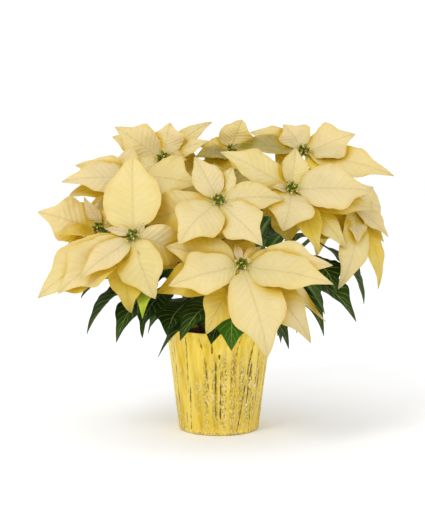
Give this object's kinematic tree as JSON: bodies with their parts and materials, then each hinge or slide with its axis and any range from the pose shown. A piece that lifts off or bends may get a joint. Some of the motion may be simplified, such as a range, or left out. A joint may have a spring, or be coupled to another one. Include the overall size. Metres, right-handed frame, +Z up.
{
  "type": "potted poinsettia",
  "caption": "Poinsettia with cream and golden bracts over dark green leaves, in a grow pot inside a tapered gold foil cover that stands on a flat base.",
  "frame": {"origin": "middle of the foil cover's flat bottom, on the surface that the pot stands on", "axes": "+Z up, -Y towards the side that the picture shows, +X to the right in the picture"},
  "size_m": [0.5223, 0.4328, 0.4571],
  "materials": {
    "foil": "crinkled gold foil",
    "pot": "moulded matte",
    "soil": "crumbly",
    "green": "satin leaf",
    "bract": "satin, translucent",
    "cups": "waxy"
  },
  "bodies": {
    "root": {"foil_cover": "foil", "grow_pot": "pot", "potting_mix": "soil", "plant_1": "green", "plant_2": "green", "plant_3": "green", "bracts_front": "bract", "bracts_front_left": "bract", "bracts_centre": "bract", "bracts_right": "bract", "bracts_far_left": "bract", "bracts_inner_left": "bract", "bracts_top_left": "bract", "bracts_far_right": "bract", "bracts_top": "bract", "bracts_top_right": "bract", "bracts_back_left": "bract", "bracts_back": "bract", "bracts_back_right": "bract", "cyathia_front": "cups", "cyathia_front_left": "cups", "cyathia_centre": "cups", "cyathia_right": "cups", "cyathia_far_left": "cups", "cyathia_inner_left": "cups", "cyathia_top_left": "cups", "cyathia_far_right": "cups", "cyathia_top": "cups", "cyathia_top_right": "cups", "cyathia_back_left": "cups", "cyathia_back": "cups", "cyathia_back_right": "cups"}
  },
  "joints": []
}
